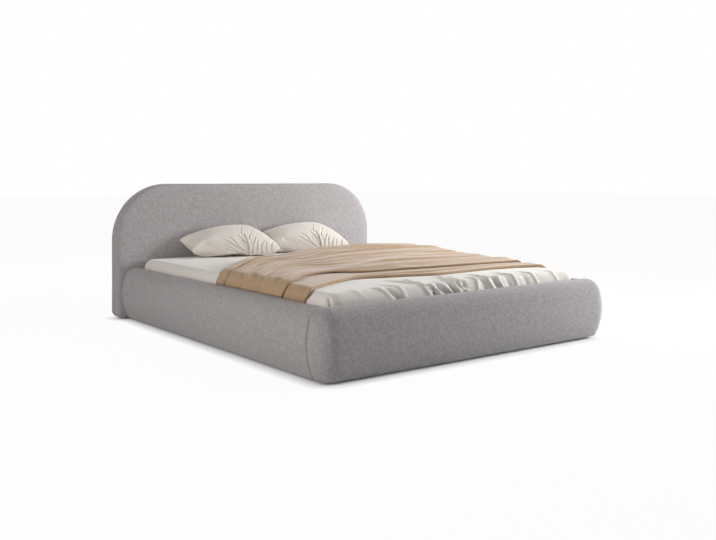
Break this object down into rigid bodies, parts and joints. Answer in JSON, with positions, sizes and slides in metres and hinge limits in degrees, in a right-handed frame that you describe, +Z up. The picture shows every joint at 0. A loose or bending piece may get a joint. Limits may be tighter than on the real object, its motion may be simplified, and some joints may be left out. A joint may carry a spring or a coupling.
{
  "type": "upholstered bed",
  "caption": "Upholstered bed with a round-shouldered padded headboard, barrel-shaped padded rails and footboard, slatted base, mattress, sheet, throw and pillows.",
  "frame": {"origin": "on the floor under the middle of the bed's outer box", "axes": "+X across the bed, +Y towards the headboard, +Z up"},
  "size_m": [1.89, 2.25, 0.815],
  "materials": {
    "upholstery": "matte",
    "foam": "matte",
    "glide_plastic": "matte",
    "webbing": "matte",
    "slat_wood": "satin",
    "frame_wood": "matte",
    "board": "matte",
    "lining": "matte",
    "bracket_steel": "satin",
    "fastener_steel": "satin",
    "foot_plastic": "matte",
    "mattress": "matte",
    "sheet": "matte",
    "throw": "matte",
    "pillow": "matte"
  },
  "bodies": {
    "frame": {"beam_hanger_foot": "bracket_steel", "beam_hanger_head": "bracket_steel", "centre_beam": "frame_wood", "centre_leg_foot": "frame_wood", "centre_leg_head": "frame_wood", "corner_bracket_foot_left": "bracket_steel", "corner_bracket_foot_right": "bracket_steel", "corner_bracket_head_left": "bracket_steel", "corner_bracket_head_right": "bracket_steel", "fitted_sheet": "sheet", "footboard_board": "board", "footboard_cover": "upholstery", "footboard_foam": "foam", "footboard_glides": "glide_plastic", "frame_bolts": "fastener_steel", "headboard_back_lining": "lining", "headboard_cover": "upholstery", "headboard_foam": "foam", "headboard_foot_batten": "frame_wood", "headboard_front_board": "board", "headboard_glides": "glide_plastic", "headboard_inner_post_left": "frame_wood", "headboard_inner_post_right": "frame_wood", "headboard_middle_batten": "frame_wood", "headboard_outer_post_left": "frame_wood", "headboard_outer_post_right": "frame_wood", "headboard_top_batten": "frame_wood", "ledge_screws": "fastener_steel", "mattress": "mattress", "pillow_left": "pillow", "pillow_right": "pillow", "side_rail_left_board": "board", "side_rail_left_cover": "upholstery", "side_rail_left_foam": "foam", "side_rail_left_glides": "glide_plastic", "side_rail_left_ledge": "bracket_steel", "side_rail_right_board": "board", "side_rail_right_cover": "upholstery", "side_rail_right_foam": "foam", "side_rail_right_glides": "glide_plastic", "side_rail_right_ledge": "bracket_steel", "slat_01": "slat_wood", "slat_02": "slat_wood", "slat_03": "slat_wood", "slat_04": "slat_wood", "slat_05": "slat_wood", "slat_06": "slat_wood", "slat_07": "slat_wood", "slat_08": "slat_wood", "slat_09": "slat_wood", "slat_10": "slat_wood", "slat_11": "slat_wood", "slat_12": "slat_wood", "slat_strap_left": "webbing", "slat_strap_right": "webbing", "throw": "throw"},
    "foot_screw_foot": {"levelling_foot_foot": "foot_plastic"},
    "foot_screw_head": {"levelling_foot_head": "foot_plastic"}
  },
  "joints": [
    {"name": "foot_level_foot", "type": "slide", "parent": "frame", "child": "foot_screw_foot", "axis": [0, 0, 1], "range_m": [0, 0.012]},
    {"name": "foot_level_head", "type": "slide", "parent": "frame", "child": "foot_screw_head", "axis": [0, 0, 1], "range_m": [0, 0.012]}
  ]
}
